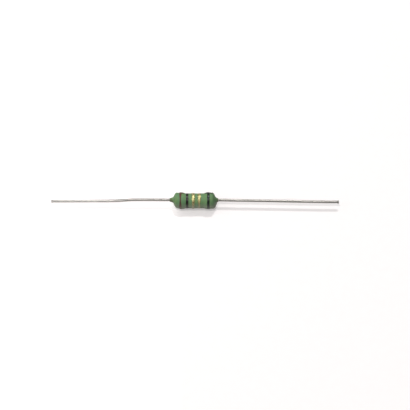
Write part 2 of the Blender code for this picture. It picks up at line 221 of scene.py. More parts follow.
lacquerShape = {
    "hangHeight": 0.020 * mm,  # slow swells left by dipping and draining
    "hangSize": 2.6 * mm,
    "peelHeight": 0.0035 * mm,  # orange peel
    "peelSize": 0.42 * mm,
    "ribHeight": 0.0065 * mm,  # a guess: the two windings as faint crossing ribs
    "ribPitch": 0.75 * mm,
    "ribReach": 2.30 * mm,
    "ribFade": 0.5 * mm,
    "thinRadius": 0.45 * mm,  # where the coat is this thin, only a share of the relief is left
    "fullRadius": 1.6 * mm,
    "thinShare": 0.08,
    "sag": 0.36 * mm,  # the coat is fuller low on the front of the right shoulder
    "sagAngle": 134.0,  # from straight up towards the front
    "sagFocus": 4.0,
    "sagFrom": (4.7 * mm, 5.5 * mm),
    "sagTo": (5.95 * mm, 6.4 * mm),
    "seed": 4.0,
}


def lacquerPlaceGroup(shape):
    # (share along the outline, angle, lift) to a point on the lacquer
    tree, given = newTree("lacquerPlace", [
        ("Line", "Geometry"), ("Share", "Float"), ("Angle", "Float"), ("Lift", "Float"),
    ])
    tree.interface.new_socket("Place", in_out="OUTPUT", socket_type="NodeSocketVector")
    sample = put(tree, "GeometryNodeSampleCurve", {
        "Curves": given.outputs["Line"], "Factor": given.outputs["Share"],
    }, mode="FACTOR")
    outline = put(tree, "ShaderNodeSeparateXYZ", {0: sample.outputs["Position"]})
    x, radius, setBack = outline.outputs
    sine = put(tree, "ShaderNodeMath", {0: given.outputs["Angle"]}, operation="SINE")
    cosine = put(tree, "ShaderNodeMath", {0: given.outputs["Angle"]}, operation="COSINE")
    ySpot = put(tree, "ShaderNodeMath", {0: radius, 1: sine}, operation="MULTIPLY")
    zSpot = put(tree, "ShaderNodeMath", {0: radius, 1: cosine}, operation="MULTIPLY")
    spot = put(tree, "ShaderNodeCombineXYZ", {0: x, 1: ySpot, 2: zSpot})

    relief = None
    for height, size, detail in (("hangHeight", "hangSize", 1.0), ("peelHeight", "peelSize", 2.0)):
        noise = put(tree, "ShaderNodeTexNoise", {
            "Vector": spot, "W": shape["seed"], "Scale": 1 / shape[size], "Detail": detail,
        }, noise_dimensions="4D")
        part = put(tree, "ShaderNodeMath", {0: noise, 1: -0.5}, operation="ADD")
        part = put(tree, "ShaderNodeMath", {0: part, 1: 2 * shape[height]}, operation="MULTIPLY")
        relief = put(tree, "ShaderNodeMath", {0: part, 1: relief or 0.0}, operation="ADD")

    reach = put(tree, "ShaderNodeMath", {0: x}, operation="ABSOLUTE")
    fade = put(tree, "ShaderNodeMapRange", {
        0: reach, 1: shape["ribReach"], 2: shape["ribReach"] - shape["ribFade"], 3: 0.0, 4: 1.0,
    }, interpolation_type="SMOOTHSTEP")
    for hand in (1, -1):
        turn = put(tree, "ShaderNodeMath", {0: x, 1: 2 * math.pi / shape["ribPitch"]}, operation="MULTIPLY")
        swing = put(tree, "ShaderNodeMath", {0: given.outputs["Angle"], 1: hand}, operation="MULTIPLY")
        phase = put(tree, "ShaderNodeMath", {0: turn, 1: swing}, operation="SUBTRACT")
        wave = put(tree, "ShaderNodeMath", {0: phase}, operation="COSINE")
        crest = put(tree, "ShaderNodeMath", {0: wave, 1: 0.0}, operation="MAXIMUM")
        crest = put(tree, "ShaderNodeMath", {0: crest, 1: 2.0}, operation="POWER")
        faded = put(tree, "ShaderNodeMath", {0: crest, 1: fade}, operation="MULTIPLY")
        rib = put(tree, "ShaderNodeMath", {0: faded, 1: shape["ribHeight"]}, operation="MULTIPLY")
        relief = put(tree, "ShaderNodeMath", {0: relief, 1: rib}, operation="ADD")

    # the relief dies away where the coat thins out onto the leads
    share = put(tree, "ShaderNodeMapRange", {
        0: radius, 1: shape["thinRadius"], 2: shape["fullRadius"], 3: shape["thinShare"], 4: 1.0,
    })
    relief = put(tree, "ShaderNodeMath", {0: relief, 1: share}, operation="MULTIPLY")
    out = put(tree, "ShaderNodeMath", {0: relief, 1: given.outputs["Lift"]}, operation="ADD")
    out = put(tree, "ShaderNodeMath", {0: radius, 1: out}, operation="ADD")
    y = put(tree, "ShaderNodeMath", {0: out, 1: sine, 2: setBack}, operation="MULTIPLY_ADD")
    z = put(tree, "ShaderNodeMath", {0: out, 1: cosine, 2: axisHeight}, operation="MULTIPLY_ADD")

    low = put(tree, "ShaderNodeMath", {
        0: given.outputs["Angle"], 1: math.radians(shape["sagAngle"]),
    }, operation="ADD")
    low = put(tree, "ShaderNodeMath", {0: low}, operation="COSINE")
    low = put(tree, "ShaderNodeMath", {0: low, 1: 0.0}, operation="MAXIMUM")
    low = put(tree, "ShaderNodeMath", {0: low, 1: shape["sagFocus"]}, operation="POWER")
    for near, far, level in ((*shape["sagFrom"], 1.0), (*reversed(shape["sagTo"]), shape["sag"])):
        share = put(tree, "ShaderNodeMapRange", {
            0: x, 1: near, 2: far, 3: 0.0, 4: level,
        }, interpolation_type="SMOOTHSTEP")
        low = put(tree, "ShaderNodeMath", {0: low, 1: share}, operation="MULTIPLY")
    x = put(tree, "ShaderNodeMath", {0: x, 1: low}, operation="ADD")
    place = put(tree, "ShaderNodeCombineXYZ", {0: x, 1: y, 2: z})
    put(tree, "NodeGroupOutput", {0: place})
    return tree


def ringMesh(tree, around, along):
    # a closed ring of faces with two marks on each point: turns round it, and steps along it
    marks = []
    for count, mark, size in ((around, "around", 1.0), (along, "along", 0.1)):
        circle = put(tree, "GeometryNodeCurvePrimitiveCircle", {"Resolution": count, "Radius": size})
        factor = put(tree, "GeometryNodeSplineParameter")
        marks.append(put(tree, "GeometryNodeStoreNamedAttribute", {
            "Geometry": circle, "Name": mark, "Value": factor.outputs["Factor"],
        }, data_type="FLOAT", domain="POINT"))
    return put(tree, "GeometryNodeCurveToMesh", {"Curve": marks[0], "Profile Curve": marks[1]})


def finishTree(tree, mesh, material):
    whole = put(tree, "GeometryNodeRealizeInstances", {0: mesh})
    dressed = put(tree, "GeometryNodeSetMaterial", {"Geometry": whole, "Material": material})
    tree.interface.new_socket("Geometry", in_out="OUTPUT", socket_type="NodeSocketGeometry")
    put(tree, "NodeGroupOutput", {0: dressed})


def dippedCoatTree(lacquerPlace):
    # the coat: its skin one way along, and back through its bore
    tree, given = newTree("dippedCoat", [
        ("Skin", "Object"), ("Bore", "Object"), ("Steps around", "Int"), ("Steps along", "Int"),
        ("Skin share", "Float"), ("Material", "Material"),
    ])
    ring = ringMesh(tree, given.outputs["Steps around"], given.outputs["Steps along"])
    along = put(tree, "GeometryNodeInputNamedAttribute", {"Name": "along"}, data_type="FLOAT")
    around = put(tree, "GeometryNodeInputNamedAttribute", {"Name": "around"}, data_type="FLOAT")
    angle = put(tree, "ShaderNodeMath", {0: around, 1: 2 * math.pi}, operation="MULTIPLY")
    skinShare = given.outputs["Skin share"]

    skin = put(tree, "GeometryNodeObjectInfo", {"Object": given.outputs["Skin"]})
    outward = put(tree, "ShaderNodeMapRange", {0: along, 1: 0.0, 2: skinShare, 3: 0.0, 4: 1.0})
    skinPlace = put(tree, "GeometryNodeGroup")
    skinPlace.node_tree = lacquerPlace
    tree.links.new(skin.outputs["Geometry"], skinPlace.inputs["Line"])
    tree.links.new(outward.outputs[0], skinPlace.inputs["Share"])
    tree.links.new(angle.outputs[0], skinPlace.inputs["Angle"])

    bore = put(tree, "GeometryNodeObjectInfo", {"Object": given.outputs["Bore"]})
    back = put(tree, "ShaderNodeMapRange", {0: along, 1: skinShare, 2: 1.0, 3: 1.0, 4: 0.0})
    sample = put(tree, "GeometryNodeSampleCurve", {
        "Curves": bore.outputs["Geometry"], "Factor": back,
    }, mode="FACTOR")
    line = put(tree, "ShaderNodeSeparateXYZ", {0: sample.outputs["Position"]})
    x, radius, setBack = line.outputs
    sine = put(tree, "ShaderNodeMath", {0: angle}, operation="SINE")
    cosine = put(tree, "ShaderNodeMath", {0: angle}, operation="COSINE")
    y = put(tree, "ShaderNodeMath", {0: radius, 1: sine, 2: setBack}, operation="MULTIPLY_ADD")
    z = put(tree, "ShaderNodeMath", {0: radius, 1: cosine, 2: axisHeight}, operation="MULTIPLY_ADD")
    borePlace = put(tree, "ShaderNodeCombineXYZ", {0: x, 1: y, 2: z})

    inBore = put(tree, "FunctionNodeCompare", {0: along, 1: skinShare}, operation="GREATER_THAN")
    place = put(tree, "GeometryNodeSwitch", {
        "Switch": inBore, "False": skinPlace.outputs["Place"], "True": borePlace,
    }, input_type="VECTOR")
    shaped = put(tree, "GeometryNodeSetPosition", {"Geometry": ring, "Position": place})
    finishTree(tree, shaped, given.outputs["Material"])
    return tree


def paintedBandTree(lacquerPlace):
    # a ring of paint on the lacquer, with wavering edges that run out thin
    tree, given = newTree("paintedBand", [
        ("Skin", "Object"), ("Steps around", "Int"), ("Steps along", "Int"),
        ("From", "Float"), ("To", "Float"), ("Waver", "Float"), ("Waver count", "Float"),
        ("Pinch", "Float"), ("Pinch angle", "Float"),
        ("Thickness", "Float"), ("Edge", "Float"), ("Sunk", "Float"), ("Seed", "Float"),
        ("Material", "Material"),
    ])
    ring = ringMesh(tree, given.outputs["Steps around"], given.outputs["Steps along"])
    along = put(tree, "GeometryNodeInputNamedAttribute", {"Name": "along"}, data_type="FLOAT")
    around = put(tree, "GeometryNodeInputNamedAttribute", {"Name": "around"}, data_type="FLOAT")
    angle = put(tree, "ShaderNodeMath", {0: around, 1: 2 * math.pi}, operation="MULTIPLY")
    sine = put(tree, "ShaderNodeMath", {0: angle}, operation="SINE")
    cosine = put(tree, "ShaderNodeMath", {0: angle}, operation="COSINE")

    # over the top and back underneath: 0 to 1 to 0
    fold = put(tree, "ShaderNodeMath", {0: along, 1: 2.0}, operation="MULTIPLY")
    across = put(tree, "ShaderNodeMath", {0: fold, 1: 1.0}, operation="PINGPONG")
    under = put(tree, "FunctionNodeCompare", {0: along, 1: 0.5}, operation="GREATER_THAN")

    edges = []
    turned = put(tree, "ShaderNodeMath", {0: angle, 1: given.outputs["Pinch angle"]}, operation="SUBTRACT")
    facing = put(tree, "ShaderNodeMath", {0: turned}, operation="COSINE")
    facing = put(tree, "ShaderNodeMath", {0: facing, 1: 0.0}, operation="MAXIMUM")
    facing = put(tree, "ShaderNodeMath", {0: facing, 1: 6.0}, operation="POWER")
    pinch = put(tree, "ShaderNodeMath", {0: facing, 1: given.outputs["Pinch"]}, operation="MULTIPLY")
    for side, (label, sign) in enumerate((("From", 1.0), ("To", -1.0))):
        seed = put(tree, "ShaderNodeMath", {0: given.outputs["Seed"], 1: 7.3 * side}, operation="ADD")
        spot = put(tree, "ShaderNodeCombineXYZ", {0: sine, 1: cosine, 2: seed})
        noise = put(tree, "ShaderNodeTexNoise", {
            "Vector": spot, "Scale": given.outputs["Waver count"], "Detail": 2.0,
        })
        shift = put(tree, "ShaderNodeMath", {0: noise, 1: -0.5}, operation="ADD")
        shift = put(tree, "ShaderNodeMath", {0: shift, 1: given.outputs["Waver"]}, operation="MULTIPLY")
        inwards = put(tree, "ShaderNodeMath", {0: pinch, 1: sign, 2: shift}, operation="MULTIPLY_ADD")
        edges.append(put(tree, "ShaderNodeMath", {0: given.outputs[label], 1: inwards}, operation="ADD"))
    share = put(tree, "ShaderNodeMix", {0: across, 2: edges[0], 3: edges[1]})

    # thickness rises from both edges to an even film
    other = put(tree, "ShaderNodeMath", {0: 1.0, 1: across}, operation="SUBTRACT")
    nearest = put(tree, "ShaderNodeMath", {0: across, 1: other}, operation="MINIMUM")
    rise = put(tree, "ShaderNodeMapRange", {
        0: nearest, 1: 0.0, 2: given.outputs["Edge"], 3: 0.0, 4: given.outputs["Thickness"],
    }, interpolation_type="SMOOTHSTEP")
    sunk = put(tree, "ShaderNodeMath", {0: given.outputs["Sunk"], 1: -1.0}, operation="MULTIPLY")
    lift = put(tree, "GeometryNodeSwitch", {"Switch": under, "False": rise, "True": sunk}, input_type="FLOAT")

    skin = put(tree, "GeometryNodeObjectInfo", {"Object": given.outputs["Skin"]})
    place = put(tree, "GeometryNodeGroup")
    place.node_tree = lacquerPlace
    tree.links.new(skin.outputs["Geometry"], place.inputs["Line"])
    tree.links.new(share.outputs[0], place.inputs["Share"])
    tree.links.new(angle.outputs[0], place.inputs["Angle"])
    tree.links.new(lift.outputs[0], place.inputs["Lift"])
    shaped = put(tree, "GeometryNodeSetPosition", {"Geometry": ring, "Position": place.outputs["Place"]})
    film = put(tree, "ShaderNodeMapRange", {0: nearest, 1: 0.0, 2: 0.26, 3: 0.0, 4: 1.0})
    filmed = put(tree, "GeometryNodeStoreNamedAttribute", {
        "Geometry": shaped, "Name": "film", "Value": film,
    }, data_type="FLOAT", domain="POINT")
    finishTree(tree, filmed, given.outputs["Material"])
    return tree


def shearedLeadTree():
    # a drawn wire on its path, spread and pinched where the cutter went through
    tree, given = newTree("shearedLead", [
        ("Path", "Object"), ("Sides", "Int"), ("Tip", "Vector"), ("Cut length", "Float"),
        ("Spread", "Float"), ("Pinch", "Float"), ("Spread way", "Vector"), ("Material", "Material"),
    ])
    path = put(tree, "GeometryNodeObjectInfo", {"Object": given.outputs["Path"]})
    here = put(tree, "GeometryNodeInputPosition")
    marked = put(tree, "GeometryNodeStoreNamedAttribute", {
        "Geometry": path.outputs["Geometry"], "Name": "spot", "Value": here,
    }, data_type="FLOAT_VECTOR", domain="POINT")
    circle = put(tree, "GeometryNodeCurvePrimitiveCircle", {
        "Resolution": given.outputs["Sides"], "Radius": 1.0,
    })
    wireRadius = put(tree, "GeometryNodeInputRadius")
    tube = put(tree, "GeometryNodeCurveToMesh", {
        "Curve": marked, "Profile Curve": circle, "Scale": wireRadius, "Fill Caps": True,
    })

    spot = put(tree, "GeometryNodeInputNamedAttribute", {"Name": "spot"}, data_type="FLOAT_VECTOR")
    offset = put(tree, "ShaderNodeVectorMath", {0: here, 1: spot}, operation="SUBTRACT")
    left = put(tree, "ShaderNodeVectorMath", {0: given.outputs["Tip"], 1: spot}, operation="DISTANCE")
    near = put(tree, "ShaderNodeMapRange", {
        0: left.outputs["Value"], 1: given.outputs["Cut length"], 2: 0.0, 3: 0.0, 4: 1.0,
    }, interpolation_type="SMOOTHSTEP")
    # the part of the offset along the spread direction grows, and what is across it shrinks
    spreadWay = given.outputs["Spread way"]
    reach = put(tree, "ShaderNodeVectorMath", {0: offset, 1: spreadWay}, operation="DOT_PRODUCT")
    wide = put(tree, "ShaderNodeVectorMath", {
        0: spreadWay, "Scale": reach.outputs["Value"],
    }, operation="SCALE")
    thin = put(tree, "ShaderNodeVectorMath", {0: offset, 1: wide}, operation="SUBTRACT")
    grow = put(tree, "ShaderNodeMath", {0: near, 1: given.outputs["Spread"]}, operation="MULTIPLY")
    shrink = put(tree, "ShaderNodeMath", {0: near, 1: given.outputs["Pinch"]}, operation="MULTIPLY")
    shrink = put(tree, "ShaderNodeMath", {0: shrink, 1: -1.0}, operation="MULTIPLY")
    wider = put(tree, "ShaderNodeVectorMath", {0: wide, "Scale": grow}, operation="SCALE")
    thinner = put(tree, "ShaderNodeVectorMath", {0: thin, "Scale": shrink}, operation="SCALE")
    move = put(tree, "ShaderNodeVectorMath", {0: wider, 1: thinner}, operation="ADD")
    shaped = put(tree, "GeometryNodeSetPosition", {"Geometry": tube, "Offset": move})
    finishTree(tree, shaped, given.outputs["Material"])
    return tree


# finishes

def newFinish(name, colour, **sockets):
    material = bpy.data.materials.new(name)
    material.use_nodes = True
    tree = material.node_tree
    shader = tree.nodes["Principled BSDF"]
    shader.inputs["Base Color"].default_value = linearColour(colour)
    for label, value in sockets.items():
        shader.inputs[label.replace("_", " ")].default_value = value
    return material, tree, shader


def awayFromAxis(tree, place):
    # from the body's axis out to a place, and which way that is
    out = put(tree, "ShaderNodeVectorMath", {0: place, 1: (0, 0, axisHeight)}, operation="SUBTRACT")
    out = put(tree, "ShaderNodeVectorMath", {0: out, 1: (0, 1, 1)}, operation="MULTIPLY")
    return out, put(tree, "ShaderNodeVectorMath", {0: out}, operation="NORMALIZE")


def paintedTableReflection(tree, body, facing, colour, most):
    # painted reflection of the table, placed as a guess: greyer low down
    height = put(tree, "ShaderNodeSeparateXYZ", {0: facing}).outputs[2]
    under = put(tree, "ShaderNodeMapRange", {
        0: height, 1: 0.72, 2: 0.0, 3: 0.0, 4: most,
    }, interpolation_type="SMOOTHSTEP")
    return put(tree, "ShaderNodeMix", {0: under, 6: body, 7: linearColour(colour)}, data_type="RGBA")


def siliconeLacquer(sizes):
    # Green silicone conformal lacquer, dipped and baked: satin, now yellower and now bluer, and brownish
    # where it runs out thin over the tinned wire. Painted shade darkens the right end and a patch on each
    # crest round at the back, and a painted reflection of the table greys the underside: all three guesses.
    material, tree, shader = newFinish("siliconeLacquer", "#648c5a", Roughness=0.60, IOR=1.40)
    place = put(tree, "ShaderNodeTexCoord").outputs["Object"]
    cloud = put(tree, "ShaderNodeTexNoise", {"Vector": place, "Scale": 1 / sizes["cloud"], "Detail": 3.0})
    fine = put(tree, "ShaderNodeTexNoise", {"Vector": place, "Scale": 1 / sizes["fine"], "Detail": 3.0})
    tint = put(tree, "ShaderNodeMapRange", {0: cloud, 1: 0.36, 2: 0.64, 3: 0.0, 4: 1.0})
    body = put(tree, "ShaderNodeMix", {
        0: tint, 6: linearColour("#628962"), 7: linearColour("#6e8e5a"),
    }, data_type="RGBA")
    speck = put(tree, "ShaderNodeMapRange", {0: fine, 1: 0.35, 2: 0.75, 3: 0.0, 4: 0.35})
    body = put(tree, "ShaderNodeMix", {0: speck, 6: body, 7: linearColour("#567e50")}, data_type="RGBA")

    spot = put(tree, "ShaderNodeSeparateXYZ", {0: place})
    # painted shade: the right end is darkened
    rightShade = put(tree, "ShaderNodeMapRange", {
        0: spot.outputs[0], 1: sizes["rightShadeFrom"], 2: sizes["rightShadeTo"], 3: 0.0, 4: 0.75,
    }, interpolation_type="SMOOTHSTEP")
    body = put(tree, "ShaderNodeMix", {0: rightShade, 6: body, 7: linearColour("#4f7048")}, data_type="RGBA")

    fromAxis, facing = awayFromAxis(tree, place)
    # painted reflection of the table: the underside is greyed
    body = paintedTableReflection(tree, body, facing, sizes["under"], 0.72)
    # painted shade: a dark patch on each crest, round at the back
    turn = math.radians(sizes["crestShadeAngle"])
    behind = put(tree, "ShaderNodeVectorMath", {
        0: facing, 1: (0, math.sin(turn), math.cos(turn)),
    }, operation="DOT_PRODUCT")
    behind = put(tree, "ShaderNodeMapRange", {
        0: behind.outputs["Value"], 1: 0.70, 2: 0.90, 3: 0.0, 4: 1.0,
    }, interpolation_type="SMOOTHSTEP")
    for low, high, colour in sizes["crestShades"]:
        middle, half = (low + high) / 2, (high - low) / 2
        along = put(tree, "ShaderNodeMath", {0: spot.outputs[0], 1: -middle}, operation="ADD")
        along = put(tree, "ShaderNodeMath", {0: along}, operation="ABSOLUTE")
        along = put(tree, "ShaderNodeMapRange", {0: along, 1: half, 2: half - 0.3 * mm, 3: 0.0, 4: 0.95})
        crestShade = put(tree, "ShaderNodeMath", {0: along, 1: behind}, operation="MULTIPLY")
        body = put(tree, "ShaderNodeMix", {0: crestShade, 6: body, 7: linearColour(colour)}, data_type="RGBA")

    away = put(tree, "ShaderNodeVectorMath", {0: fromAxis}, operation="LENGTH")
    thin = put(tree, "ShaderNodeMapRange", {
        0: away.outputs["Value"], 1: 0.78 * mm, 2: 0.46 * mm, 3: 0.0, 4: 0.85,
    }, interpolation_type="SMOOTHSTEP")
    body = put(tree, "ShaderNodeMix", {0: thin, 6: body, 7: linearColour("#5c5f45")}, data_type="RGBA")
    tree.links.new(body.outputs[2], shader.inputs["Base Color"])
    gloss = put(tree, "ShaderNodeMapRange", {0: cloud, 1: 0.3, 2: 0.7, 3: 0.56, 4: 0.66})
    tree.links.new(gloss.outputs[0], shader.inputs["Roughness"])
    bump = put(tree, "ShaderNodeBump", {"Height": fine, "Strength": 0.25, "Distance": 0.01 * mm})
    tree.links.new(bump.outputs[0], shader.inputs["Normal"])
    return material


def bandInk(name, colour, second, roughness, patch):
    # Epoxy marking ink, rolled on and baked: uneven and thin in patches. The black is the glossier.
    material, tree, shader = newFinish(name, colour, Roughness=roughness, IOR=1.40)
    place = put(tree, "ShaderNodeTexCoord").outputs["Object"]
    patches = put(tree, "ShaderNodeTexNoise", {"Vector": place, "Scale": 1 / (0.5 * mm), "Detail": 3.0})
    uneven = put(tree, "ShaderNodeMapRange", {0: patches, 1: 0.42, 2: 0.72, 3: 0.0, 4: patch})
    body = put(tree, "ShaderNodeMix", {
        0: uneven, 6: linearColour(colour), 7: linearColour(second),
    }, data_type="RGBA")
    # painted reflection of the table: the ink is greyed a little low down
    body = paintedTableReflection(tree, body, awayFromAxis(tree, place)[1], lacquerLook["under"], 0.22)
    tree.links.new(body.outputs[2], shader.inputs["Base Color"])
    fine = put(tree, "ShaderNodeTexNoise", {"Vector": place, "Scale": 1 / (0.12 * mm), "Detail": 2.0})
    bump = put(tree, "ShaderNodeBump", {"Height": fine, "Strength": 0.2, "Distance": 0.006 * mm})
    tree.links.new(bump.outputs[0], shader.inputs["Normal"])
    return material


def bronzeInk(name, cover, edge, roughness):
    # Bronze-powder ink, rolled on: pale flakes of about 0.03 mm that each tilt a little, in brown resin that
    # shows between them and at the edges, and more of it low down as painted shade, a guess. The flakes are
    # drawn at 0.08 mm.
    material, tree, shader = newFinish(name, "#c9c088", Roughness=roughness, Metallic=0.8)
    place = put(tree, "ShaderNodeTexCoord").outputs["Object"]
    flakes = put(tree, "ShaderNodeTexVoronoi", {"Vector": place, "Scale": 1 / (0.08 * mm)})
    tone = put(tree, "ShaderNodeSeparateXYZ", {0: flakes.outputs["Color"]})
    pale = put(tree, "ShaderNodeMix", {
        0: tone.outputs[0], 6: linearColour("#aca570"), 7: linearColour("#d2cd96"),
    }, data_type="RGBA")
    film = put(tree, "ShaderNodeAttribute", attribute_name="film").outputs["Fac"]
    full = put(tree, "ShaderNodeMapRange", {
        0: film, 1: edge, 2: edge + 0.5, 3: 0.12, 4: cover,
    }, interpolation_type="SMOOTHSTEP")
    facing = awayFromAxis(tree, place)[1]
    height = put(tree, "ShaderNodeSeparateXYZ", {0: facing}).outputs[2]
    # painted shade: fewer flakes low down, so the gold is darker there
    lowShade = put(tree, "ShaderNodeMapRange", {0: height, 1: 0.9, 2: 0.2, 3: 1.0, 4: 0.50})
    full = put(tree, "ShaderNodeMath", {0: full, 1: lowShade}, operation="MULTIPLY")
    flake = put(tree, "ShaderNodeMath", {0: full, 1: tone.outputs[1]}, operation="GREATER_THAN")
    body = put(tree, "ShaderNodeMix", {0: flake, 6: linearColour("#7c6438"), 7: pale}, data_type="RGBA")
    # painted reflection of the table: the gold is greyed low down
    body = paintedTableReflection(tree, body, facing, lacquerLook["under"], 0.75)
    tree.links.new(body.outputs[2], shader.inputs["Base Color"])
    metal = put(tree, "ShaderNodeMapRange", {0: flake, 3: 0.1, 4: 1.0})
    tree.links.new(metal.outputs[0], shader.inputs["Metallic"])
    gloss = put(tree, "ShaderNodeMapRange", {
        0: tone.outputs[2], 1: 0.0, 2: 1.0, 3: roughness, 4: roughness + 0.1,
    })
    tree.links.new(gloss.outputs[0], shader.inputs["Roughness"])
    bump = put(tree, "ShaderNodeBump", {"Height": tone.outputs[2], "Strength": 0.35, "Distance": 0.006 * mm})
    tree.links.new(bump.outputs[0], shader.inputs["Normal"])
    return material


def tinnedCopper(sizes):
    # Copper wire, drawn and hot tinned: bright, with fine lines left by the die and a slightly uneven tin
    # coat. Painted shade darkens it right of the left end, a guess, where it is also made a little rougher.
    material, tree, shader = newFinish("tinnedCopper", "#aba8a3", Roughness=0.38, Metallic=1.0)
    place = put(tree, "ShaderNodeTexCoord").outputs["Object"]
    drawn = put(tree, "ShaderNodeMapping", {"Vector": place, "Scale": (0.02, 1.0, 1.0)})
    lines = put(tree, "ShaderNodeTexNoise", {"Vector": drawn, "Scale": 1 / (0.06 * mm), "Detail": 2.0})
    tin = put(tree, "ShaderNodeTexNoise", {"Vector": place, "Scale": 1 / (0.9 * mm), "Detail": 3.0})
    body = put(tree, "ShaderNodeMix", {
        0: tin, 6: linearColour("#aeaba6"), 7: linearColour("#c2bfba"),
    }, data_type="RGBA")
    along = put(tree, "ShaderNodeSeparateXYZ", {0: place}).outputs[0]
    # painted shade: darker, and a little rougher, right of the left end
    tinShade = put(tree, "ShaderNodeMapRange", {
        0: along, 1: sizes["tinShadeFrom"], 2: sizes["tinShadeTo"], 3: 0.0, 4: sizes["tinShade"],
    }, interpolation_type="SMOOTHSTEP")
    body = put(tree, "ShaderNodeMix", {0: tinShade, 6: body, 7: linearColour("#84817c")}, data_type="RGBA")
    tree.links.new(body.outputs[2], shader.inputs["Base Color"])
    gloss = put(tree, "ShaderNodeMapRange", {0: tin, 1: 0.3, 2: 0.7, 3: 0.28, 4: 0.38})
    gloss = put(tree, "ShaderNodeMath", {0: tinShade, 1: 0.12, 2: gloss}, operation="MULTIPLY_ADD")
    tree.links.new(gloss.outputs[0], shader.inputs["Roughness"])
    bump = put(tree, "ShaderNodeBump", {"Height": lines, "Strength": 0.25, "Distance": 0.005 * mm})
    tree.links.new(bump.outputs[0], shader.inputs["Normal"])
    return material


def alumina():
    # Sintered alumina rod: chalky white, fine grained, unglazed.
    material, tree, shader = newFinish("alumina", "#e8e4da", Roughness=0.62, IOR=1.76)
    place = put(tree, "ShaderNodeTexCoord").outputs["Object"]
    grain = put(tree, "ShaderNodeTexNoise", {"Vector": place, "Scale": 1 / (0.1 * mm), "Detail": 4.0})
    body = put(tree, "ShaderNodeMix", {
        0: grain, 6: linearColour("#ddd8cc"), 7: linearColour("#f1eee6"),
    }, data_type="RGBA")
    tree.links.new(body.outputs[2], shader.inputs["Base Color"])
    bump = put(tree, "ShaderNodeBump", {"Height": grain, "Strength": 0.3, "Distance": 0.01 * mm})
    tree.links.new(bump.outputs[0], shader.inputs["Normal"])
    return material


def platedSteel():
    # Deep-drawn steel cap, barrel tinned: soft grey, with faint draw marks along the axis.
    material, tree, shader = newFinish("platedSteel", "#b9b6b0", Roughness=0.34, Metallic=1.0)
    place = put(tree, "ShaderNodeTexCoord").outputs["Object"]
    drawn = put(tree, "ShaderNodeMapping", {"Vector": place, "Scale": (0.15, 1.0, 1.0)})
    marks = put(tree, "ShaderNodeTexNoise", {"Vector": drawn, "Scale": 1 / (0.08 * mm), "Detail": 3.0})
    gloss = put(tree, "ShaderNodeMapRange", {0: marks, 1: 0.3, 2: 0.7, 3: 0.26, 4: 0.44})
    tree.links.new(gloss.outputs[0], shader.inputs["Roughness"])
    body = put(tree, "ShaderNodeMix", {
        0: marks, 6: linearColour("#a9a6a0"), 7: linearColour("#c8c5bf"),
    }, data_type="RGBA")
    tree.links.new(body.outputs[2], shader.inputs["Base Color"])
    return material


def copperNickelWire():
    # Drawn copper-nickel resistance wire: pale reddish metal, lightly oxidised.
    material, tree, shader = newFinish("copperNickelWire", "#c3a98c", Roughness=0.35, Metallic=1.0)
    place = put(tree, "ShaderNodeTexCoord").outputs["Object"]
    bloom = put(tree, "ShaderNodeTexNoise", {"Vector": place, "Scale": 1 / (0.3 * mm), "Detail": 3.0})
    body = put(tree, "ShaderNodeMix", {
        0: bloom, 6: linearColour("#a98f76"), 7: linearColour("#cfb79c"),
    }, data_type="RGBA")
    tree.links.new(body.outputs[2], shader.inputs["Base Color"])
    return material


lacquerLook = {
    "cloud": 1.2 * mm,
    "fine": 0.18 * mm,
    # painted shade darkens the right end from here to there along the body
    "rightShadeFrom": 4.2 * mm,
    "rightShadeTo": 5.4 * mm,
    "crestShadeAngle": 60.0,  # from straight up towards the back
    # painted shade, a guess: dark patches on the crests, from and to along the body, and the colour
    "crestShades": ((-4.2 * mm, -2.7 * mm, "#43382a"), (2.8 * mm, 5.3 * mm, "#34352a")),
    # the colour of the painted reflection of the table low down
    "under": "#848a7a",
}
# painted shade on the tin: from and to along the body, and how much
tinLook = {"tinShadeFrom": -34.0 * mm, "tinShadeTo": -14.0 * mm, "tinShade": 0.62}

lacquer = siliconeLacquer(lacquerLook)
brownInk = bandInk("brownInk", "#5c372d", "#3c3627", 0.54, 0.8)
leftBlackInk = bandInk("leftBlackInk", "#10140c", "#272213", 0.36, 0.8)
rightBlackInk = bandInk("rightBlackInk", "#071007", "#102d23", 0.38, 0.9)
leftGoldInk = bronzeInk("leftBronzeInk", 0.84, 0.15, 0.45)
rightGoldInk = bronzeInk("rightBronzeInk", 0.88, 0.45, 0.48)
tinned = tinnedCopper(tinLook)
for names, material in (
    (("ceramic_core",), alumina()),
    (("end_cap_left", "end_cap_right"), platedSteel()),
    (("winding_forward", "winding_return"), copperNickelWire()),
):
    for name in names:
        nodes[name].data.materials.clear()
        nodes[name].data.materials.append(material)
print("finishes made")


# the coat

coatSizes = {"stepsAround": 168, "stepsAlong": 300, "skinShare": 0.80}  # the other steps are the bore's

lacquerPlace = lacquerPlaceGroup(lacquerShape)
growPiece("lacquerCoat", dippedCoatTree(lacquerPlace), {
    "Skin": skinGuide,
    "Bore": boreGuide,
    "Steps around": coatSizes["stepsAround"],
    "Steps along": coatSizes["stepsAlong"],
    "Skin share": coatSizes["skinShare"],
    "Material": lacquer,
}, "lacquer", "coating")


# the bands

bandSizes = {
    # node: (name, material, slot, waver, wavers round, pinch, its degrees from the top to the front, seed)
    "band_1_brown": ("brownBand", brownInk, "brown_paint", 0.08 * mm, 1.6, 0.13 * mm, 27, 1.0),
    "band_2_black": ("leftBlackBand", leftBlackInk, "black_paint", 0.10 * mm, 2.0, 0.0, 0, 2.0),
    "band_3_gold": ("leftGoldBand", leftGoldInk, "gold_paint", 0.12 * mm, 1.8, 0.10 * mm, 70, 3.0),
    "band_4_gold": ("rightGoldBand", rightGoldInk, "gold_paint", 0.12 * mm, 1.8, 0.20 * mm, 70, 4.0),
    "band_5_black": ("rightBlackBand", rightBlackInk, "black_paint", 0.08 * mm, 1.8, 0.0, 0, 5.0),
}
paint = {"thickness": 0.032 * mm, "edge": 0.16, "sunk": 0.006 * mm, "stepsAround": 168, "stepsAlong": 44}

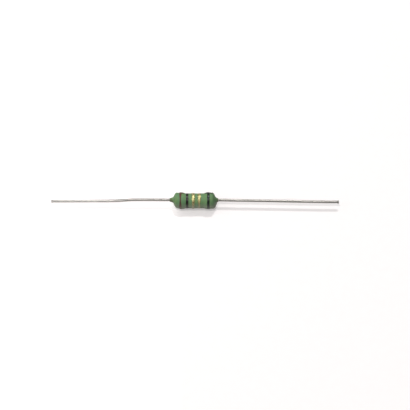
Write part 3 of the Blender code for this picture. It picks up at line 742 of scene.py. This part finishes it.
bandTree = paintedBandTree(lacquerPlace)
for node, (name, ink, slot, waver, count, pinch, pinchAngle, seed) in bandSizes.items():
    low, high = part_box(node)
    growPiece(name, bandTree, {
        "Skin": skinGuide,
        "Steps around": paint["stepsAround"],
        "Steps along": paint["stepsAlong"],
        "From": shareAt(low.x),
        "To": shareAt(high.x),
        "Waver": waver / runs[-1],
        "Waver count": count,
        "Pinch": pinch / runs[-1],
        "Pinch angle": math.radians(-pinchAngle),
        "Thickness": paint["thickness"],
        "Edge": paint["edge"],
        "Sunk": paint["sunk"],
        "Seed": seed,
        "Material": ink,
    }, slot, node)


# the leads

leadSizes = {"steps": 260, "sides": 36, "cutLength": 0.55 * mm}


def leadRings(node, side):
    # the CAD wire's rings from the weld to the tip, and its sheared end's long and short radius
    rings = {}
    for vertex in node.data.vertices:
        rings.setdefault(round(vertex.co.x * 1e7), []).append(vertex.co)
    rows = []
    for key in sorted(rings, key=lambda k: k * side):
        points = rings[key]
        centre = sum(points, Vector()) / len(points)
        reach = [(p - centre) for p in points]
        rows.append((centre, max(r.length for r in reach), min(r.length for r in reach), reach))
    return rows


leadTree = shearedLeadTree()
for node, name, side in (("lead_left", "leftLead", -1), ("lead_right", "rightLead", 1)):
    rows = leadRings(nodes[node], side)
    tip, longest, shortest, reach = rows[-1]
    wireRadius = rows[3][1]
    way = max(reach, key=lambda r: r.length).normalized()
    # the two rings at the weld are the head, and the next one ends its fillet
    line = [(side * c.x, c.y, c.z, wireRadius if i > 2 else wide) for i, (c, wide, *_) in enumerate(rows)]
    smooth = smoothRow(line[2:], leadSizes["steps"])
    path = line[:2] + smooth
    places = [(side * x, y + setBackAt(side * x), z) for x, y, z, r in path]
    guide = guideCurve(name + "Guide", places, [r for *_, r in path])
    growPiece(name, leadTree, {
        "Path": guide,
        "Sides": leadSizes["sides"],
        "Tip": places[-1],
        "Cut length": leadSizes["cutLength"],
        "Spread": longest / wireRadius - 1.0,
        "Pinch": 1.0 - shortest / wireRadius,
        "Spread way": way,
        "Material": tinned,
    }, "tinned_copper", node)
    bpy.data.objects.remove(guide)
for guide in (skinGuide, boreGuide):
    bpy.data.objects.remove(guide)


# table, lamps and camera

view = {
    "elevation": 56.0,
    "distance": 0.319,
    "lens": 100.0,
    "right": 3.0 * mm,  # the middle of the picture lies this far right of the body
    "below": 1.24 * mm,  # and this far below it, as the picture shows it
}
rise = math.radians(view["elevation"])
towards = Vector((0, -math.cos(rise), math.sin(rise)))
upwards = Vector((0, math.sin(rise), math.cos(rise)))
aim = Vector((view["right"], 0, axisHeight)) - upwards * view["below"]
camera = bpy.data.objects.new("camera", bpy.data.cameras.new("camera"))
camera.location = aim + towards * view["distance"]
camera.rotation_euler = (-towards).to_track_quat("-Z", "Y").to_euler()
camera.data.lens = view["lens"]
camera.data.sensor_width = 36.0
camera.data.clip_start = 0.01
camera.data.clip_end = 20.0
bpy.context.scene.collection.objects.link(camera)
bpy.context.scene.camera = camera

table = {
    # the extra at the left is painted light, from and to along the body
    "size": 3.0, "lift": 0.39, "leftPaintedLight": 0.22, "leftFrom": -2.5 * mm, "leftTo": -7.5 * mm,
    # metres out: from there the lamps' own light falls off and the camera still sees white
    "farLift": 1.0, "farFrom": 0.09, "farTo": 0.22,
}


def whiteTable(sizes):
    # White paper, matt. It is lifted towards white for the camera and in reflections; the extra at the left
    # is painted light.
    # Further out, where the lamps' light falls off, the camera alone sees it fully white.
    material, tree, shader = newFinish("whitePaper", "#d2cfce", Roughness=1.0)
    shader.inputs["Specular IOR Level"].default_value = 0.0
    place = put(tree, "ShaderNodeTexCoord").outputs["Object"]
    grain = put(tree, "ShaderNodeTexNoise", {"Vector": place, "Scale": 1 / (2.0 * mm), "Detail": 2.0})
    tone = put(tree, "ShaderNodeMix", {
        0: grain, 6: linearColour("#d0cdcc"), 7: linearColour("#d4d1d0"),
    }, data_type="RGBA")
    tree.links.new(tone.outputs[2], shader.inputs["Base Color"])
    path = put(tree, "ShaderNodeLightPath")
    seen = put(tree, "ShaderNodeMath", {
        0: path.outputs["Is Camera Ray"], 1: path.outputs["Is Glossy Ray"],
    }, operation="MAXIMUM")
    seen = put(tree, "ShaderNodeMath", {0: seen, 1: path.outputs["Is Transmission Ray"]}, operation="MAXIMUM")
    spot = put(tree, "ShaderNodeSeparateXYZ", {0: place})
    # painted light: a brighter pool of white on the table left of the part
    more = put(tree, "ShaderNodeMapRange", {
        0: spot.outputs[0], 1: sizes["leftFrom"], 2: sizes["leftTo"],
        3: sizes["lift"], 4: sizes["lift"] + sizes["leftPaintedLight"],
    }, interpolation_type="SMOOTHSTEP")
    glow = put(tree, "ShaderNodeMath", {0: more, 1: seen}, operation="MULTIPLY")
    away = put(tree, "ShaderNodeVectorMath", {0: place}, operation="LENGTH")
    far = put(tree, "ShaderNodeMapRange", {
        0: away.outputs["Value"], 1: sizes["farFrom"], 2: sizes["farTo"], 3: 0.0, 4: 1.0,
    }, interpolation_type="SMOOTHSTEP")
    far = put(tree, "ShaderNodeMath", {0: far, 1: path.outputs["Is Camera Ray"]}, operation="MULTIPLY")
    glow = put(tree, "ShaderNodeMix", {0: far, 2: glow, 3: sizes["farLift"]})
    shader.inputs["Emission Color"].default_value = (1.0, 0.955, 0.96, 1)
    tree.links.new(glow.outputs[0], shader.inputs["Emission Strength"])
    half = sizes["size"] / 2
    mesh = bpy.data.meshes.new("table")
    corners = [(-half, -half, 0), (half, -half, 0), (half, half, 0), (-half, half, 0)]
    mesh.from_pydata(corners, [], [(0, 1, 2, 3)])
    mesh.materials.append(material)
    floor = bpy.data.objects.new("table", mesh)
    bpy.context.scene.collection.objects.link(floor)


whiteTable(table)

lamps = {
    # name: (degrees from straight up; degrees round from the back; metres away; width, depth;
    #        its light on the table as a share of plain white)
    "backLamp": (29.6, -14.0, 0.90, 0.10, 0.07, 0.41),
    "topLamp": (16.5, 152.0, 0.90, 0.16, 0.07, 0.32),
    "leftLamp": (55.0, 90.0, 0.22, 0.16, 0.12, 0.10),
}
for name, (lean, around, away, width, depth, share) in lamps.items():
    lamp = bpy.data.lights.new(name, "AREA")
    lamp.shape = "RECTANGLE"
    lamp.size, lamp.size_y = width, depth
    lean, around = math.radians(lean), math.radians(around)
    way = Vector((-math.sin(lean) * math.sin(around), math.sin(lean) * math.cos(around), math.cos(lean)))
    # a lamp of power P lights the table by P cos / (pi r2), and plain white needs pi
    lamp.energy = share * math.pi * math.pi * away * away / way.z
    holder = bpy.data.objects.new(name, lamp)
    holder.location = way * away
    holder.rotation_euler = (-way).to_track_quat("-Z", "Y").to_euler()
    bpy.context.scene.collection.objects.link(holder)

room = {
    # levels of its sides, then where the front and back ones end, in degrees, and how softly
    "front": 0.20, "ceiling": 0.20, "back": 0.05, "left": 0.42, "right": 0.08,
    "frontEdge": 16.0, "backEdge": 60.0, "soft": 14.0,
    # where the left and right walls begin and are full, from 0 straight ahead to 1 at the side
    "sideFrom": 0.10, "sideTo": 0.50,
}


def studioRoom(sizes):
    # A dim room: front wall and ceiling alike, the back wall nearly dark, a window side at the left.
    # Camera rays see white instead.
    world = bpy.data.worlds.new("room")
    world.use_nodes = True
    tree = world.node_tree
    way = put(tree, "ShaderNodeTexCoord").outputs["Generated"]
    parts = put(tree, "ShaderNodeSeparateXYZ", {0: way})
    lean = put(tree, "ShaderNodeMath", {0: parts.outputs[1], 1: parts.outputs[2]}, operation="ARCTAN2")
    front, back, soft = (math.radians(sizes[key]) for key in ("frontEdge", "backEdge", "soft"))
    level = put(tree, "ShaderNodeMapRange", {
        0: lean, 1: -front - soft / 2, 2: -front + soft / 2, 3: sizes["front"], 4: sizes["ceiling"],
    }, interpolation_type="SMOOTHSTEP")
    toBack = put(tree, "ShaderNodeMapRange", {
        0: lean, 1: back - soft, 2: back + soft, 3: 0.0, 4: 1.0,
    }, interpolation_type="SMOOTHSTEP")
    level = put(tree, "ShaderNodeMix", {0: toBack, 2: level, 3: sizes["back"]})
    for side, sign in (("left", -1.0), ("right", 1.0)):
        sideways = put(tree, "ShaderNodeMath", {0: parts.outputs[0], 1: sign}, operation="MULTIPLY")
        share = put(tree, "ShaderNodeMapRange", {
            0: sideways, 1: sizes["sideFrom"], 2: sizes["sideTo"], 3: 0.0, 4: 1.0,
        }, interpolation_type="SMOOTHSTEP")
        level = put(tree, "ShaderNodeMix", {0: share, 2: level, 3: sizes[side]})
    seen = put(tree, "ShaderNodeLightPath").outputs["Is Camera Ray"]
    strength = put(tree, "ShaderNodeMix", {0: seen, 2: level, 3: 1.0})
    tree.links.new(strength.outputs[0], tree.nodes["Background"].inputs["Strength"])
    tree.nodes["Background"].inputs["Color"].default_value = (1.0, 0.985, 0.975, 1.0)
    bpy.context.scene.world = world


studioRoom(room)
bpy.context.scene.view_settings.view_transform = "Standard"
print("table, lamps and camera set")
